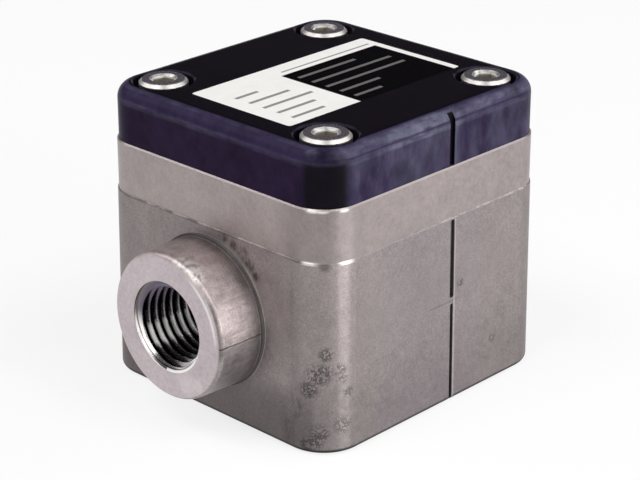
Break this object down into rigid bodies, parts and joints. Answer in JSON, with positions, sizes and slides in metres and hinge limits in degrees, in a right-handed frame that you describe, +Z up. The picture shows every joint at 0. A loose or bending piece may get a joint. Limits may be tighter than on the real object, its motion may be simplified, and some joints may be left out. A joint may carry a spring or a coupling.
{
  "type": "oval gear flow sensor",
  "caption": "Block-shaped flow sensor: cast steel body with pipe bosses at its ends, meshed oval gear rotors in a chamber, and a bolted plastic lid with a pick-up board.",
  "frame": {"origin": "middle of the flat underside", "axes": "+X along the flow, from inlet to outlet; +Z up through the lid"},
  "size_m": [0.0624, 0.0448, 0.0439],
  "materials": {
    "cast_steel": "fine cast and part machined stainless steel",
    "lid_plastic": "satin moulded plastic",
    "screw_steel": "satin stainless steel",
    "seal_rubber": "smooth black elastomer",
    "label_film": "printed film, two-tone, with no text",
    "cover_plastic": "moulded plastic",
    "rotor_plastic": "filled engineering plastic",
    "bush_carbon": "ground carbon",
    "shaft_steel": "ground steel",
    "washer_plastic": "white thrust washer plastic",
    "magnet_metal": "plated magnet",
    "board_green": "green solder mask",
    "chip_black": "moulded chip package",
    "grommet_rubber": "black rubber"
  },
  "bodies": {
    "housing": {"body": "cast_steel", "sensor_lid": "lid_plastic", "lid_seal": "seal_rubber", "label_plate": "label_film", "pocket_cover": "cover_plastic", "circuit_board": "board_green", "cable_grommet": "grommet_rubber", "lid_screw_1": "screw_steel", "lid_screw_2": "screw_steel", "lid_screw_3": "screw_steel", "lid_screw_4": "screw_steel", "rotor_shaft_a": "shaft_steel", "lower_washer_a": "washer_plastic", "upper_washer_a": "washer_plastic", "hall_sensor_a": "chip_black", "board_chip_a": "chip_black", "board_screw_a": "screw_steel", "rotor_shaft_b": "shaft_steel", "lower_washer_b": "washer_plastic", "upper_washer_b": "washer_plastic", "hall_sensor_b": "chip_black", "board_chip_b": "chip_black", "board_screw_b": "screw_steel"},
    "first_rotor": {"rotor_a": "rotor_plastic", "rotor_bush_a": "bush_carbon", "rotor_magnet_a": "magnet_metal", "rotor_magnet_b": "magnet_metal", "magnet_cap_a": "cover_plastic", "magnet_cap_b": "cover_plastic"},
    "second_rotor": {"rotor_b": "rotor_plastic", "rotor_bush_b": "bush_carbon"}
  },
  "joints": [
    {"name": "rotor_a_spin", "type": "hinge", "parent": "housing", "child": "first_rotor", "pos_m": [0, -0.0075, 0.0296], "axis": [0, 0, 1], "continuous": true},
    {"name": "rotor_b_spin", "type": "hinge", "parent": "housing", "child": "second_rotor", "pos_m": [0, 0.0075, 0.0296], "axis": [0, 0, 1], "continuous": true}
  ],
  "couplings": [
    {"joint": "rotor_b_spin", "follows": "rotor_a_spin", "ratio": -1}
  ]
}
